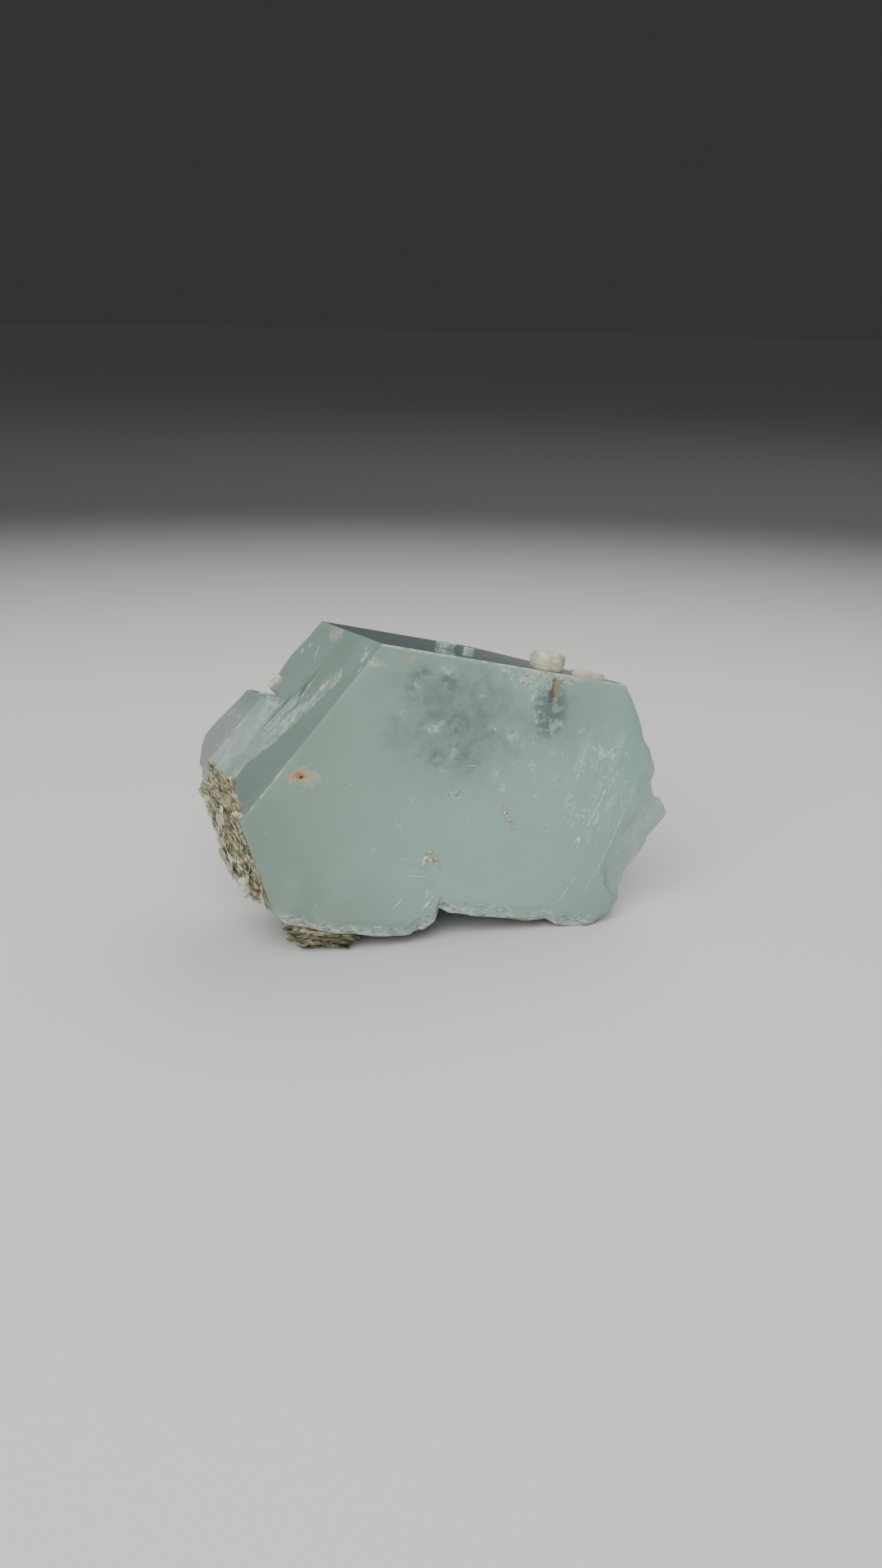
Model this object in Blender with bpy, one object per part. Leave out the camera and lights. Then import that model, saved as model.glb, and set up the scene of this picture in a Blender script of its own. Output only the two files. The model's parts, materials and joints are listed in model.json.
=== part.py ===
"""A stubby aquamarine crystal lying on its side, with mica and albite grown on it.

The crystal is a six-sided prism, short along its axis, whose flat basal face looks forward.
Every piece is drawn in the crystal's own frame: X runs right along the top prism face, Z runs
up the basal face, and Y runs back along the crystal's axis, with the basal face at Y = 0.
The empty crystal_axis then leans and rolls that frame into the pose the crystal rests in.
Sizes are in millimetres until mm() turns them into metres.
"""

import math

import bmesh
import bpy
from mathutils import Matrix, Vector, noise

# How the crystal rests: the basal face leans back, and the top face falls to the right.
BASAL_LEAN_DEG = 3.6
TOP_FALL_DEG = 12.1

# The basal face: its top left corner, and the lengths of the edges that grew whole.
CORNER_A = Vector((-33.8, 32.4))
TOP_EDGE = 33.6
UPPER_LEFT_EDGE = 27.4
LOWER_LEFT_EDGE = 11.6
THICKNESS = 24.3

# The second, parallel crystal on the upper left face: where it starts and ends down that
# face, the depths over which it rises, how far it stands out, how wide it is, and its rear.
TWIN_ALONG = (12.4, 26.0)
TWIN_RISE = (14.2, 19.0)
TWIN_STEP = 1.5
TWIN_WIDTH = 8.0
TWIN_BACK = (25.6, 27.8)

# The etched seam between the two crystals.
SEAM_ALONG = (6.0, 24.0)
SEAM_DEPTH = (12.0, 13.8)
SEAM_CUT = 0.5

# The broken rear. Behind the top right corner the crystal is this thick, and it thickens by
# these slopes to the left and downward. Behind the lower left it is broken off as well.
CORNER_THICKNESS = 2.4
RISE_TO_LEFT = 1.8
RISE_DOWNWARD = 0.36
THINNEST = 3.0
HEEL_THICKNESS = 17.6

# Neighbours that grew together keep this gap here.
GAP = 0.32

# The chipped right edge of the basal face, top to bottom, after the corner with the top face.
RIGHT_EDGE = (
    (1.6, 30.5),
    (3.6, 27.2),
    (4.3, 25.9),
    (5.5, 24.6),
    (7.0, 22.0),
    (7.1, 20.3),
    (8.1, 18.8),
    (9.1, 18.4),
    (10.7, 16.6),
    (10.7, 15.8),
    (8.8, 13.2),
    (8.2, 10.9),
    (6.8, 8.8),
    (5.9, 7.6),
    (5.9, 6.9),
    (5.3, 6.1),
    (5.9, 4.4),
    (4.9, 2.2),
    (3.6, 1.9),
    (2.2, 0.3),
)
# The broken lower edge, right to left, with the notch under the middle.
LOWER_EDGE = (
    (0.4, -0.2),
    (-2.6, 0.0),
    (-4.4, 0.7),
    (-6.3, 0.2),
    (-9.3, 0.2),
    (-13.4, 0.1),
    (-18.2, 0.1),
    (-19.4, 0.5),
    (-19.8, -1.3),
    (-21.0, -2.3),
    (-21.9, -2.4),
    (-22.8, -3.3),
    (-26.0, -3.8),
    (-29.6, -3.9),
    (-31.5, -4.0),
    (-33.3, -3.9),
    (-35.1, -3.9),
    (-36.8, -3.7),
    (-38.3, -3.5),
    (-39.7, -3.2),
)

# Depths of the prism's cross-sections. They crowd at the seam, and end behind the rear.
SECTIONS = (2.6, 5.0, 7.6, 10.0, 11.4, 12.4, 13.2, 14.2, 15.6, 17.4, 19.4, 22.0, 24.2, 26.4, 32.0)


def mm(u, v, w):
    """A point u right, v up and w back in the crystal's frame, in metres."""
    return Vector((u, w, v)) / 1000


def direction(degrees):
    """The unit vector at that angle on the basal face, counted from the right."""
    return Vector((math.cos(math.radians(degrees)), math.sin(math.radians(degrees))))


CORNER_F = CORNER_A + UPPER_LEFT_EDGE * direction(240)


def step(start, end, x):
    """A smooth rise from 0 at the start to 1 at the end."""
    t = min(1.0, max(0.0, (x - start) / (end - start)))
    return t * t * (3 - 2 * t)


def hump(low, high, soft, x):
    """1 between low and high, and 0 outside them, with soft sides."""
    return step(low - soft, low + soft, x) * (1 - step(high - soft, high + soft, x))


def lumps(u, v, w, size, seed):
    """Smooth noise from -1 to 1 with lumps about that size across."""
    return noise.noise(Vector((u / size + seed, v / size - seed, w / size + 3 * seed)))


def lower_of(a, b, soft=1.6):
    """The smaller of two heights, with their crossing rounded off over that much."""
    t = min(1.0, max(0.0, 0.5 + 0.5 * (b - a) / soft))
    return b + (a - b) * t - soft * t * (1 - t)


def ledges(height, rise):
    """The height gathered into flat ledges a rise apart."""
    level = height / rise
    base = math.floor(level)
    return rise * (base + step(0.3, 0.7, level - base))


# The crystal's outline and walls. A sample is one point of the outline on the basal face,
# with the direction the wall faces there, its side, and how far along that side it is.


def on_upper_left(along):
    """The sample that far down the upper left edge from corner A."""
    return CORNER_A + along * direction(240), direction(150), "upper left", along


def on_lower_left(along):
    """The sample that far down the lower left edge from corner F."""
    return CORNER_F + along * direction(300), direction(210), "lower left", along


def on_corner_f():
    """The sample at corner F, which both left walls share."""
    return CORNER_F, direction(180), "upper left", UPPER_LEFT_EDGE


def on_broken_edge(side, points):
    """The samples of a broken edge, each facing square to its neighbours."""
    chain = [Vector(p) for p in points]
    samples = []
    for i, point in enumerate(chain):
        run = chain[min(i + 1, len(chain) - 1)] - chain[max(i - 1, 0)]
        samples.append((point, Vector((-run.y, run.x)).normalized(), side, point.x))
    return samples


def outline():
    """The samples all round the crystal, clockwise from corner A."""
    corner_b = CORNER_A + Vector((TOP_EDGE, 0))
    samples = [(CORNER_A, direction(120), "top", 0.0), (corner_b, direction(60), "top", TOP_EDGE)]
    samples += on_broken_edge("right", RIGHT_EDGE) + on_broken_edge("lower", LOWER_EDGE)
    samples += [on_lower_left(along) for along in (LOWER_LEFT_EDGE, 8.7, 5.8, 2.9)]
    samples.append(on_corner_f())
    for along in (26.2, 25.0, 22.5, 20.0, 17.5, 15.0, 13.0, 11.8, 9.5, 7.0, 5.0):
        samples.append(on_upper_left(along))
    return samples


def stands_out(side, along, depth, point):
    """How far the wall stands out from the outline at that depth, and in if negative."""
    if side == "upper left":
        seam = hump(*SEAM_ALONG, 1.0, along) * hump(*SEAM_DEPTH, 0.6, depth)
        start, end = TWIN_ALONG
        twin = step(start - 0.5, start + 0.5, along) * step(end + 1.4, end - 1.4, along)
        twin *= step(*TWIN_RISE, depth)
        return seam * (0.25 * lumps(along, depth, 0, 1.7, 4) - SEAM_CUT) + TWIN_STEP * twin
    if side == "right":
        return -0.9 * step(0, 6, depth) * abs(lumps(point.x, point.y, depth, 5.0, 2))
    if side == "lower":
        worn = 1.6 * step(1, 9, depth) * abs(lumps(point.x, point.y, depth, 6.0, 9))
        heel = 2.0 * hump(-24.5, -19.5, 2.0, point.x) * hump(17.5, 26, 2.0, depth)
        return heel - worn * (1 - step(0, 1.5, heel))
    return 0.0


def wall_point(sample, depth, clear=0.0):
    """The wall's point at that depth below a sample, or one clear of the wall by a gap."""
    point, outward, side, along = sample
    if point == CORNER_F:
        clear /= math.cos(math.radians(30))
    reach = stands_out(side, along, depth, point) + clear
    return mm(*(point + reach * outward), depth)


def basal_face_point(sample):
    """Where the flat basal face ends, inside a sample of the outline."""
    point, outward, side, _ = sample
    if side == "right":
        return mm(*(point + Vector((-0.8 - 5.5 * hump(7, 19, 5, point.y), 0.3))), 0)
    if side == "lower":
        bevel = 1.9 + 0.4 * lumps(point.x, 0, 0, 3.0, 5)
        return mm(*(point + Vector((-0.4, bevel))), 0)
    return mm(*point, 0)


def rim_depth(sample):
    """How far behind the basal face a sample of the outline lies. Whole edges are sharp."""
    point, _, side, _ = sample
    if side == "right":
        return 0.3 + 1.3 * hump(5, 20, 4, point.y) + 0.25 * lumps(point.x, point.y, 0, 2.0, 6)
    if side == "lower":
        return 0.7 + 0.3 * lumps(point.x, point.y, 0, 2.0, 7)
    return 0.25


def back_depth(u, v):
    """How far back the crystal's rear stands behind a point of the basal face."""
    offset = Vector((u, v)) - CORNER_A
    along = offset.dot(direction(240))
    inside = -offset.dot(direction(150))
    rough = lumps(u, v, 1, 2.6, 8)

    # The rear pinacoid is flat at the top, and steps forward in ledges lower down.
    worn = 2.4 * step(24, 12, v) + 1.8 * step(0.0, 0.6, lumps(u, v, 0, 9.0, 3)) * step(27, 21, v)
    depth = THICKNESS - ledges(worn, 1.5) + 0.25 * rough * step(27, 23, v)
    depth += 0.9 * hump(4, 8, 1.5, along) * step(5, 2, inside)
    depth -= 6.0 * hump(11.2, 12.1, 0.4, along) * step(4.0, 1.0, inside)

    # The second crystal stands behind it, on the left.
    edge = TWIN_WIDTH + 1.2 * lumps(u, v, 2, 4.0, 1)
    twin = step(TWIN_ALONG[0], TWIN_ALONG[0] + 0.9, along) * step(edge + 0.6, edge - 0.6, inside)
    reach = TWIN_BACK[0] + (TWIN_BACK[1] - TWIN_BACK[0]) * step(TWIN_ALONG[0], 21, along)
    depth += twin * (reach - 0.12 * inside + 0.1 * rough - depth)

    # Two breaks: one falls away to the right, and one to the lower left.
    right = CORNER_THICKNESS + RISE_DOWNWARD * (CORNER_A.y - v)
    right += RISE_TO_LEFT * max(0.0, -u) - 0.5 * max(0.0, u)
    right = max(THINNEST, right) + 0.5 * lumps(u, v, 0, 3.2, 16) * step(31, 27, v)
    offset = Vector((u, v)) - CORNER_F
    left = HEEL_THICKNESS - 0.78 * offset.dot(direction(300)) - 1.75 * offset.dot(direction(210))
    left += 0.5 * lumps(u, v, 0, 3.0, 17)
    return lower_of(lower_of(depth, right), left)


# Making the meshes


def closed_grid(rings):
    """A closed solid through these cross-sections, each a list of as many points. The first
    half of a cross-section runs forward along one wall, and the rest back along the other."""
    bm = bmesh.new()
    rings = [[bm.verts.new(point) for point in points] for points in rings]
    count = len(rings[0])
    for ring, following in zip(rings, rings[1:]):
        for i in range(count):
            j = (i + 1) % count
            bm.faces.new((ring[i], ring[j], following[j], following[i]))
    for ring in (rings[0], rings[-1]):
        for i in range(count // 2 - 1):
            bm.faces.new((ring[i], ring[i + 1], ring[-2 - i], ring[-1 - i]))
    bmesh.ops.recalc_face_normals(bm, faces=bm.faces)
    return bm


def new_object(name, bm, material=None, parent=None):
    """An object made from the mesh, carried by the parent."""
    mesh = bpy.data.meshes.new(name)
    bm.to_mesh(mesh)
    bm.free()
    obj = bpy.data.objects.new(name, mesh)
    bpy.context.scene.collection.objects.link(obj)
    if material:
        mesh.materials.append(material)
    obj.parent = parent
    return obj


def make_cutter(name, bm, parent=None):
    """A helper that Booleans cut with, and that isn't part of the object."""
    cutter = new_object(name, bm, parent=parent)
    cutter.display_type = "WIRE"
    cutter.hide_render = True
    return cutter


def cut(obj, cutter):
    """Takes the cutter's shape out of the object."""
    boolean = obj.modifiers.new("cut by " + cutter.name, "BOOLEAN")
    boolean.operation = "DIFFERENCE"
    boolean.object = cutter


def mineral(name, colour, roughness, transmission=0.0):
    """A plain material for one mineral."""
    material = bpy.data.materials.new(name)
    material.use_nodes = True
    surface = material.node_tree.nodes["Principled BSDF"]
    surface.inputs["Base Color"].default_value = (*colour, 1)
    surface.inputs["Roughness"].default_value = roughness
    surface.inputs["Transmission Weight"].default_value = transmission
    surface.inputs["IOR"].default_value = 1.577
    return material


# The pieces


def make_crystal(parent, material):
    """The prism, drawn back from its basal face, before its rear and its base are cut."""
    samples = outline()
    rings = [
        [basal_face_point(s) for s in samples],
        [wall_point(s, rim_depth(s)) for s in samples],
    ]
    rings += [[wall_point(s, depth) for s in samples] for depth in SECTIONS]
    bm = bmesh.new()
    rings = [[bm.verts.new(point) for point in points] for points in rings]
    for ring, following in zip(rings, rings[1:]):
        for i in range(len(ring)):
            bm.faces.new((ring[i - 1], ring[i], following[i], following[i - 1]))
    bm.faces.new(rings[0])
    bm.faces.new(rings[-1])
    bmesh.ops.recalc_face_normals(bm, faces=bm.faces)
    return new_object("aquamarine_crystal", bm, material, parent)


def make_rear_cutter(parent):
    """Everything behind the crystal's rear: a sheet shaped as the rear, made thick."""
    low, high, cell, end = Vector((-58.3, -9.1)), Vector((14.2, 39.7)), 1.4, 36
    bm = bmesh.new()
    sheet = bmesh.ops.create_grid(
        bm,
        x_segments=round((high.x - low.x) / cell),
        y_segments=round((high.y - low.y) / cell),
        size=0.5,
    )
    for vert in sheet["verts"]:
        u = low.x + (vert.co.x + 0.5) * (high.x - low.x)
        v = low.y + (vert.co.y + 0.5) * (high.y - low.y)
        vert.co = mm(u, v, back_depth(u, v))
    thick = bmesh.ops.extrude_face_region(bm, geom=bm.faces[:])["geom"]
    for vert in thick:
        if isinstance(vert, bmesh.types.BMVert):
            vert.co.y = end / 1000
    bmesh.ops.recalc_face_normals(bm, faces=bm.faces)
    return make_cutter("rear_cutter", bm, parent)


def make_crust(name, columns, rows, thickness, parent, material):
    """A crust grown on the walls. Each column is a sample of the outline with the depths the
    crust starts and ends at below it. thickness(share, depth) is in millimetres, and share
    runs from 0 at the first column to 1 at the last."""
    rings = []
    for row in range(rows + 1):
        inner, outer = [], []
        for i, (sample, start, end) in enumerate(columns):
            depth = start + (end - start) * row / rows
            thick = thickness(i / (len(columns) - 1), depth)
            inner.append(wall_point(sample, depth, GAP))
            outer.append(wall_point(sample, depth, GAP + thick))
        rings.append(inner + outer[::-1])
    return new_object(name, closed_grid(rings), material, parent)


def side_crust_columns():
    """The lower left wall from near corner G up to corner F, and a little way round it."""
    columns = []
    for along in (11.2, 9.8, 8.4, 7.0, 5.6, 4.2, 2.8, 1.4):
        columns.append((on_lower_left(along), 0.5, 16.4 - 0.76 * along))
    columns.append((on_corner_f(), 0.7, 16.6))
    columns.append((on_upper_left(26.2), 7.0, 18.0))
    columns.append((on_upper_left(25.0), 13.0, 19.0))
    return columns


def side_crust_thickness(share, depth):
    """Foliated mica in ledges and lumps, thinner toward its edges."""
    body = 1.2 * step(-0.05, 0.35, share) * step(0.99, 0.7, share) * (0.3 + 0.7 * step(0, 5, depth))
    rough = 0.9 * lumps(7 * share, depth, 0, 1.5, 11) + 0.6 * lumps(12 * share, depth, 2, 0.8, 12)
    return max(0.4, ledges(0.45 + body + rough * min(1.0, body), 0.4))


def base_crust_columns():
    """The underside from the lower left corner to the notch side of the left half."""
    under = [s for s in on_broken_edge("lower", LOWER_EDGE) if -38 < s[3] < -29]
    return [(s, 1.5, back_depth(s[0].x, s[0].y + 0.5) - 1.0) for s in under]


def base_crust_thickness(share, depth):
    """A flat-lying lens of mica, deep enough to reach what the crystal stands on."""
    body = 3.3 * math.sin(math.pi * (0.12 + 0.8 * share)) * hump(2.6, 9.0, 2.0, depth)
    return max(0.4, ledges(0.45 + body + 0.5 * lumps(5 * share, depth, 0, 1.3, 14), 0.4))


def make_lump(name, foot, size, turn_deg, seed, parent, material, wall=90, blunt=0.26):
    """A block of albite, standing on its foot (u, v, w) on the wall that faces that direction.
    The size is its full width along the wall, its height and its depth. Its edges are blunt by
    that share of its size."""
    bm = bmesh.new()
    bmesh.ops.create_cube(bm, size=1.0)
    bmesh.ops.bevel(bm, geom=bm.edges[:], offset=blunt, segments=3, profile=0.5, affect="EDGES")
    turn = Matrix.Rotation(math.radians(turn_deg), 3, "Z")
    width, height, depth = size
    for vert in bm.verts:
        unit = vert.co * (1 + 0.08 * lumps(*vert.co, 0.6, seed))
        shaped = turn @ Vector((unit.x * width, unit.y * depth, 0))
        above = max(0.0, unit.z + 0.5) * height
        u, v = above * direction(wall) + shaped.x * direction(wall - 90)
        vert.co = mm(foot[0] + u, foot[1] + v, foot[2] + shaped.y)
    bmesh.ops.recalc_face_normals(bm, faces=bm.faces)
    return new_object(name, bm, material, parent)


def make_blade(name, root, tip, width, thickness, parent, material):
    """A thin blade of albite from root to tip, both as (u, v, w), with a bevelled end."""
    root, tip = mm(*root), mm(*tip)
    run = tip - root
    side = run.cross(Vector((0, 1, 0))).normalized() * thickness / 2000
    face = run.cross(side).normalized() * width / 2000
    rings = []
    for along, broad, deep in ((0, 0.8, 1.0), (0.45, 1.0, 1.0), (0.85, 0.9, 0.7), (1, 0.5, 0.3)):
        middle = root + along * run
        front = [middle + broad * x * face + deep * side for x in (-0.8, 0, 0.7)]
        back = [middle + broad * x * face - deep * side for x in (0.9, 0, -1)]
        rings.append(front + back)
    return new_object(name, closed_grid(rings), material, parent)


def make_floor_cutter():
    """What the object stands on, whose top is the level Z = 0."""
    bm = bmesh.new()
    bmesh.ops.create_cube(bm, size=1.0)
    for vert in bm.verts:
        vert.co = Vector((vert.co.x * 0.2, vert.co.y * 0.2, (vert.co.z - 0.5) * 0.02))
    return make_cutter("floor_cutter", bm)


def lowest_and_highest(objects):
    """The corners of the box round these objects, as built."""
    bpy.context.view_layer.update()
    graph = bpy.context.evaluated_depsgraph_get()
    points = []
    for obj in objects:
        shown = obj.evaluated_get(graph)
        points += [shown.matrix_world @ vert.co for vert in shown.data.vertices]
    low = Vector(min(p[i] for p in points) for i in range(3))
    high = Vector(max(p[i] for p in points) for i in range(3))
    return low, high


def main():
    for obj in list(bpy.data.objects):
        bpy.data.objects.remove(obj)
    beryl = mineral("aquamarine", (0.30, 0.42, 0.38), 0.12, transmission=0.6)
    mica = mineral("muscovite", (0.36, 0.33, 0.22), 0.45)
    chalky = mineral("albite", (0.56, 0.52, 0.44), 0.7)
    rosy = mineral("albite skin", (0.50, 0.42, 0.36), 0.65)

    axis = bpy.data.objects.new("crystal_axis", None)
    bpy.context.scene.collection.objects.link(axis)
    axis.rotation_mode = "YXZ"
    axis.rotation_euler = (-math.radians(BASAL_LEAN_DEG), math.radians(TOP_FALL_DEG), 0)

    crystal = make_crystal(axis, beryl)
    cut(crystal, make_rear_cutter(axis))
    side = make_crust(
        "mica_side_crust", side_crust_columns(), 11, side_crust_thickness, axis, mica
    )
    base = make_crust(
        "mica_base_crust", base_crust_columns(), 9, base_crust_thickness, axis, mica
    )

    lower = on_broken_edge("lower", LOWER_EDGE)
    notch = [(s, 1.2, 6.0) for s in lower if -23 < s[3] < -20.5]
    under = [(s, 1.4, 5.0) for s in lower if -9.5 < s[3] < -4]
    notch_skin = make_crust("albite_notch_skin", notch, 4, lambda a, b: 0.4, axis, rosy)
    base_skin = make_crust("albite_base_skin", under, 4, lambda a, b: 0.4, axis, rosy)

    top = CORNER_A.y + GAP
    knob = make_lump(
        "albite_knob", (-10.8, top, 2.0), (4.0, 2.2, 3.2), 4, 21, axis, chalky, blunt=0.34
    )
    ledge = make_lump("albite_ledge", (-5.1, top, 1.5), (4.2, 0.9, 2.0), -2, 22, axis, chalky)
    large = make_lump(
        "albite_fleck_large", (-20.4, top, 12.5), (2.3, 0.9, 2.2), 8, 23, axis, chalky
    )
    small = make_lump(
        "albite_fleck_small", (-17.0, top, 12.8), (1.5, 0.6, 1.4), -12, 24, axis, chalky
    )
    foot = CORNER_A + 10.3 * direction(240) + GAP * direction(150)
    grain = make_lump(
        "albite_grain", (*foot, 23.2), (1.5, 1.0, 1.2), 0, 25, axis, chalky, wall=150
    )
    root = CORNER_F + 7.4 * direction(300) + 2.25 * direction(210)
    tip = CORNER_F + 9.9 * direction(300) + 2.35 * direction(210)
    blade = make_blade("albite_blade", (*root, 2.0), (*tip, 2.6), 1.3, 0.7, axis, chalky)
    pieces = [crystal, side, base, notch_skin, base_skin, knob, ledge, large, small, grain, blade]

    floor = make_floor_cutter()
    low, high = lowest_and_highest([crystal])
    axis.location = (-(low.x + high.x) / 2, -(low.y + high.y) / 2, 0)
    for piece in (crystal, base):
        cut(piece, floor)
    low, high = lowest_and_highest(pieces)
    axis.location.x -= (low.x + high.x) / 2
    axis.location.y -= (low.y + high.y) / 2


main()
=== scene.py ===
import json
import math
import random
from functools import reduce

import bpy
from mathutils import Euler, Matrix, Vector, geometry, noise

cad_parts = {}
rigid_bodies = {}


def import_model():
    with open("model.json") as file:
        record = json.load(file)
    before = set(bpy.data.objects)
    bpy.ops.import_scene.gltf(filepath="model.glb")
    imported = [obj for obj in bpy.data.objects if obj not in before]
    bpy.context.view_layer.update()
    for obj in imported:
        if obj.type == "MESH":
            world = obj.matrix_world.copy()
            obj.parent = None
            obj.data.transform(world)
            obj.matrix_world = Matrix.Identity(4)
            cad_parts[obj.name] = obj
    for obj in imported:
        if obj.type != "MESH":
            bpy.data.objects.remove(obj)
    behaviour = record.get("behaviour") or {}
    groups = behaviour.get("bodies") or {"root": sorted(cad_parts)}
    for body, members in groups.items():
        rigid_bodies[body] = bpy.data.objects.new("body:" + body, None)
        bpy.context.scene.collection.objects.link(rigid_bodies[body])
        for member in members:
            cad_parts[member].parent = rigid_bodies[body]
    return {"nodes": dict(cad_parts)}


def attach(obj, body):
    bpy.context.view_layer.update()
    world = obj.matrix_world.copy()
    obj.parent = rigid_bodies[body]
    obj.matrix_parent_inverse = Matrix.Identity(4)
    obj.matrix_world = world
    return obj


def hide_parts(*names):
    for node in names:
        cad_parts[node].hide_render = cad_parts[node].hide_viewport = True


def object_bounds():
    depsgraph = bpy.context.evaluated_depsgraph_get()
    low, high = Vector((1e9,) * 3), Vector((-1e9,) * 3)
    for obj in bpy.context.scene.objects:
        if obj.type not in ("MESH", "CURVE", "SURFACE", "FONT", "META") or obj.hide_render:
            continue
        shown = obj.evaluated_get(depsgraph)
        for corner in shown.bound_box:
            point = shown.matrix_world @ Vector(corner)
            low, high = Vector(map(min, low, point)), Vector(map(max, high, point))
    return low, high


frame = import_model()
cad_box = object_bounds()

# The stand and its light
# A pale floor with a painted pool of light, pale in the middle and painted dark further out,
# under a sky that is bright overhead and dark at its edge, with one big soft lamp at the left
# front and a weaker one behind on the right.
floor_radius, floor_drop = 4.0, 0.00002
paper_in_painted_light, paper_in_painted_shade, painted_light_fade = (0.56, 0.56, 0.54), (0.06, 0.06, 0.06), (0.10, 0.46)
low_sky, high_sky, sky_rise = (0.040, 0.040, 0.041), (0.62, 0.63, 0.64), (0.18, 0.85)
lamps = (
    ("front lamp", Vector((-0.42, -0.60, 0.55)), 0.7, 13.0),
    ("rear lamp", Vector((0.38, 0.40, 0.60)), 0.6, 3.0),
)
lamps_aim_at = Vector((0, 0, 0.018))


def wire(node, inputs):
    """Sets or links a shader node's inputs, by name or place. All nodes go in the latest tree."""
    for key, value in inputs.items():
        if isinstance(value, bpy.types.NodeSocket):
            tree.links.new(value, node.inputs[key])
        else:
            node.inputs[key].default_value = value


def put(kind, inputs=(), **settings):
    """A new shader node with its settings and its inputs."""
    made = tree.nodes.new(kind)
    for key, value in settings.items():
        setattr(made, key, value)
    wire(made, dict(inputs))
    return made


def rise(value, low, high):
    """0 below low and 1 above high, with a smooth rise between. It falls if low > high."""
    made = put(
        "ShaderNodeMapRange", {"Value": value, "From Min": low, "From Max": high},
        interpolation_type="SMOOTHSTEP",
    )
    return made.outputs[0]


def tint(share, under, over):
    """The colour under, covered by the colour over where the share is 1."""
    under, over = [c if isinstance(c, bpy.types.NodeSocket) else (*c, 1) for c in (under, over)]
    return put("ShaderNodeMix", {0: share, 6: under, 7: over}, data_type="RGBA").outputs[2]


bpy.ops.object.select_all(action="DESELECT")
bpy.ops.mesh.primitive_circle_add(
    vertices=96, radius=floor_radius, fill_type="NGON", location=(0, 0, -floor_drop)
)
stand = bpy.context.object
stand.name = "stand"
paper = bpy.data.materials.new("pale paper with a painted pool of light")
paper.use_nodes = True
tree = paper.node_tree
# The paper is painted pale near the middle and dark further out: a painted pool of light.
spot = put("ShaderNodeTexCoord").outputs["Object"]
away = put("ShaderNodeVectorMath", {0: spot}, operation="LENGTH").outputs["Value"]
wire(tree.nodes["Principled BSDF"], {
    "Base Color": tint(rise(away, *painted_light_fade), paper_in_painted_light, paper_in_painted_shade),
    "Roughness": 0.8,
    "Specular IOR Level": 0.2,
})
stand.data.materials.append(paper)

room = bpy.data.worlds.new("soft room")
room.use_nodes = True
tree = room.node_tree
seen = put("ShaderNodeTexCoord").outputs["Generated"]
height = put("ShaderNodeSeparateXYZ", {0: seen}).outputs["Z"]
wire(tree.nodes["Background"], {"Color": tint(rise(height, *sky_rise), low_sky, high_sky)})
bpy.context.scene.world = room

for name, hung_at, size, watts in lamps:
    bpy.ops.object.light_add(type="AREA", location=hung_at)
    lamp = bpy.context.object
    lamp.name = name
    lamp.data.size = size
    lamp.data.energy = watts
    lamp.rotation_euler = (lamps_aim_at - hung_at).to_track_quat("-Z", "Y").to_euler()

# The camera stands at the crystal's left front. Its lens is given for a tall frame.
stands_at = Vector((0.016455, -0.014705, 0))
ahead = Vector((0.35875, 0.89243, -0.27362)).normalized()
level = ahead.cross(Vector((0, 0, 1))).normalized()
over = level.cross(ahead)
roll = math.radians(1.12)
right = level * math.cos(roll) + over * math.sin(roll)
up = over * math.cos(roll) - level * math.sin(roll)
pose = Matrix((right, up, -ahead)).transposed().to_4x4()
pose.translation = stands_at + Vector((-0.09525, -0.18873, 0.07910))
bpy.ops.object.camera_add()
camera = bpy.context.object
camera.name = "camera"
camera.data.sensor_width = 36
camera.data.lens = 39.375
camera.data.clip_start = 0.005
camera.matrix_world = pose
bpy.context.scene.camera = camera

# The aquamarine
# One milky beryl prism, short along its axis, lying with its basal face forward. It grew with
# flat, glossy prism faces; the right, the underside and most of the rear are broken.

# Sizes are in millimetres along the crystal: right, back and up from the corner it stands on.
lean, fall = math.radians(3.6), math.radians(12.1)
as_grown = Matrix.Rotation(-lean, 3, "X") @ Matrix.Rotation(fall, 3, "Y")
top_level, depth = 32.4, 24.3
corner_a = Vector((-33.8, 32.4))  # where the basal face, the top and the upper left wall meet
corner_f = Vector((-47.5, 8.67))  # the left corner of the basal face
second_wall = 1.5  # how far the second crystal's wall stands out past the first one's


def toward(degrees):
    """The direction at that angle on the basal face, counted from the right."""
    return Vector((math.cos(math.radians(degrees)), math.sin(math.radians(degrees))))


def lying(way, back=0.0):
    """A direction of the basal face, as the crystal lies."""
    return as_grown @ Vector((way.x, back, way.y))


def grown(point):
    """A point of the object as (right, back, up) along the crystal, in millimetres."""
    return as_grown.transposed() @ (Vector(point) - stands_at) * 1000


def ramp(low, high, x):
    """A smooth rise from 0 at low to 1 at high."""
    t = min(1.0, max(0.0, (x - low) / (high - low)))
    return t * t * (3 - 2 * t)


def alone(*pieces):
    """Leaves only these pieces selected, the last of them active."""
    if bpy.context.object and bpy.context.object.mode != "OBJECT":
        bpy.ops.object.mode_set(mode="OBJECT")
    bpy.ops.object.select_all(action="DESELECT")
    for piece in pieces:
        piece.select_set(True)
        bpy.context.view_layer.objects.active = piece


def copy_of(node, name):
    """A copy of a CAD node, free of its body, with its loose triangles merged."""
    alone(frame["nodes"][node])
    bpy.ops.object.duplicate()
    made = bpy.context.object
    bpy.ops.object.parent_clear(type="CLEAR_KEEP_TRANSFORM")
    made.name = name
    bpy.ops.object.mode_set(mode="EDIT")
    bpy.ops.mesh.select_all(action="SELECT")
    bpy.ops.mesh.remove_doubles(threshold=0.000002)
    bpy.ops.object.mode_set(mode="OBJECT")
    made.data.materials.clear()
    return made


def finish_with(piece, kind, **settings):
    """Adds a modifier to the piece and applies it."""
    modifier = piece.modifiers.new(kind.lower(), kind)
    for key, value in settings.items():
        setattr(modifier, key, value)
    bpy.context.view_layer.objects.active = piece
    bpy.ops.object.modifier_apply(modifier=modifier.name)


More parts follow.
